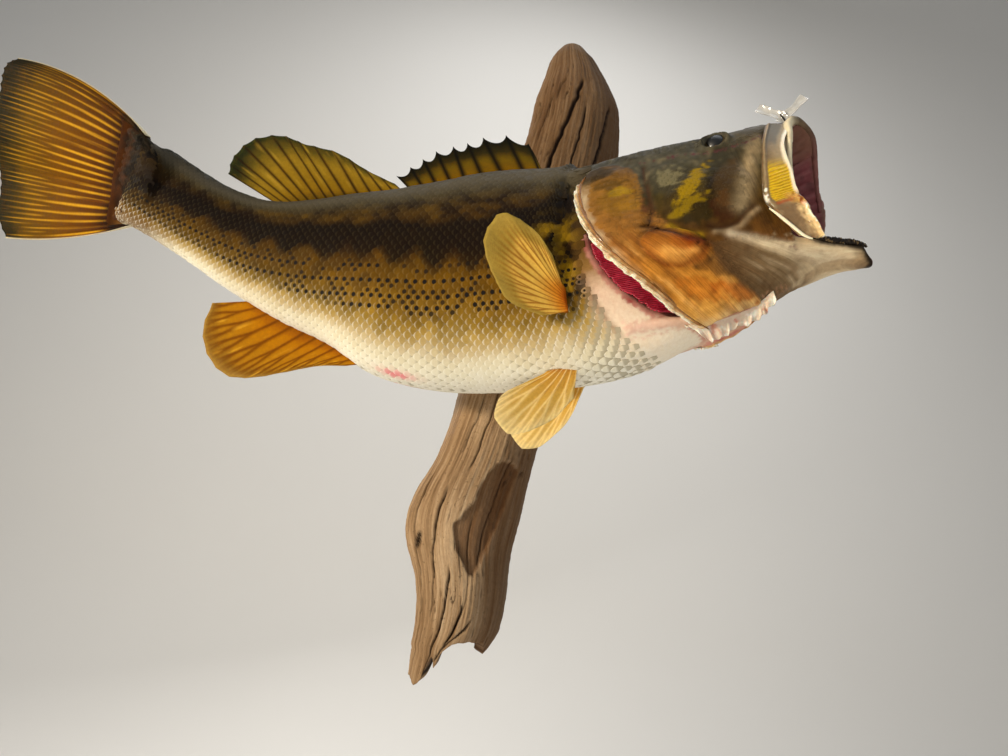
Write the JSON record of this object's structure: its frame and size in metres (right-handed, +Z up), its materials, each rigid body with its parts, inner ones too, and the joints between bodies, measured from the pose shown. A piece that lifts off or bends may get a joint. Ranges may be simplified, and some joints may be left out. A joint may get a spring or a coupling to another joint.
{
  "type": "mounted largemouth bass",
  "caption": "Life-size mounted largemouth bass with an open mouth and flared gill covers, held to an upright piece of driftwood that hangs on a wall.",
  "frame": {"origin": "on the flat planed along the back of the driftwood, level with the middle of the fish's body", "axes": "+Z up as it hangs, +X towards the fish's head along the wall, +Y into the wall, so the fish's right side faces -Y"},
  "size_m": [0.585, 0.2144, 0.535],
  "materials": {
    "wood": "weathered driftwood, matt",
    "body_skin": "lacquered scaled skin, dark olive back, brown side band, golden flank and cream belly",
    "head_skin": "lacquered skin, grey-green with yellow-green cheek patches",
    "gill_plate": "golden brown translucent gill cover, glossy",
    "jaw_bone": "pale grey-beige jaw skin, satin",
    "lip_bone": "dried cream lip bone, glossy",
    "mouth_flesh": "pink mouth lining, satin",
    "gill_red": "crimson gill arches, glossy",
    "eye": "polished artificial eye with a thin bronze ring",
    "fin": "amber rayed fin, varnished",
    "dark_fin": "olive rayed fin with dark spines, varnished",
    "tape": "clear tape, glossy"
  },
  "bodies": {
    "root": {"driftwood": "wood", "trunk": "body_skin", "tail": "body_skin", "skull": "head_skin", "cheek_right": "head_skin", "cheek_left": "head_skin", "gill_cover_right": "gill_plate", "gill_cover_left": "gill_plate", "lower_jaw": "jaw_bone", "premaxilla_right": "lip_bone", "premaxilla_left": "lip_bone", "maxilla_right": "lip_bone", "maxilla_left": "lip_bone", "tongue": "mouth_flesh", "gills_right": "gill_red", "gills_left": "gill_red", "eye_right": "eye", "eye_left": "eye", "tail_fin": "fin", "anal_fin": "fin", "pectoral_fin_right": "fin", "pectoral_fin_left": "fin", "pelvic_fin_right": "fin", "pelvic_fin_left": "fin", "dorsal_fin_spiny": "dark_fin", "dorsal_fin_soft": "dark_fin", "snout_tape": "tape"}
  },
  "joints": []
}
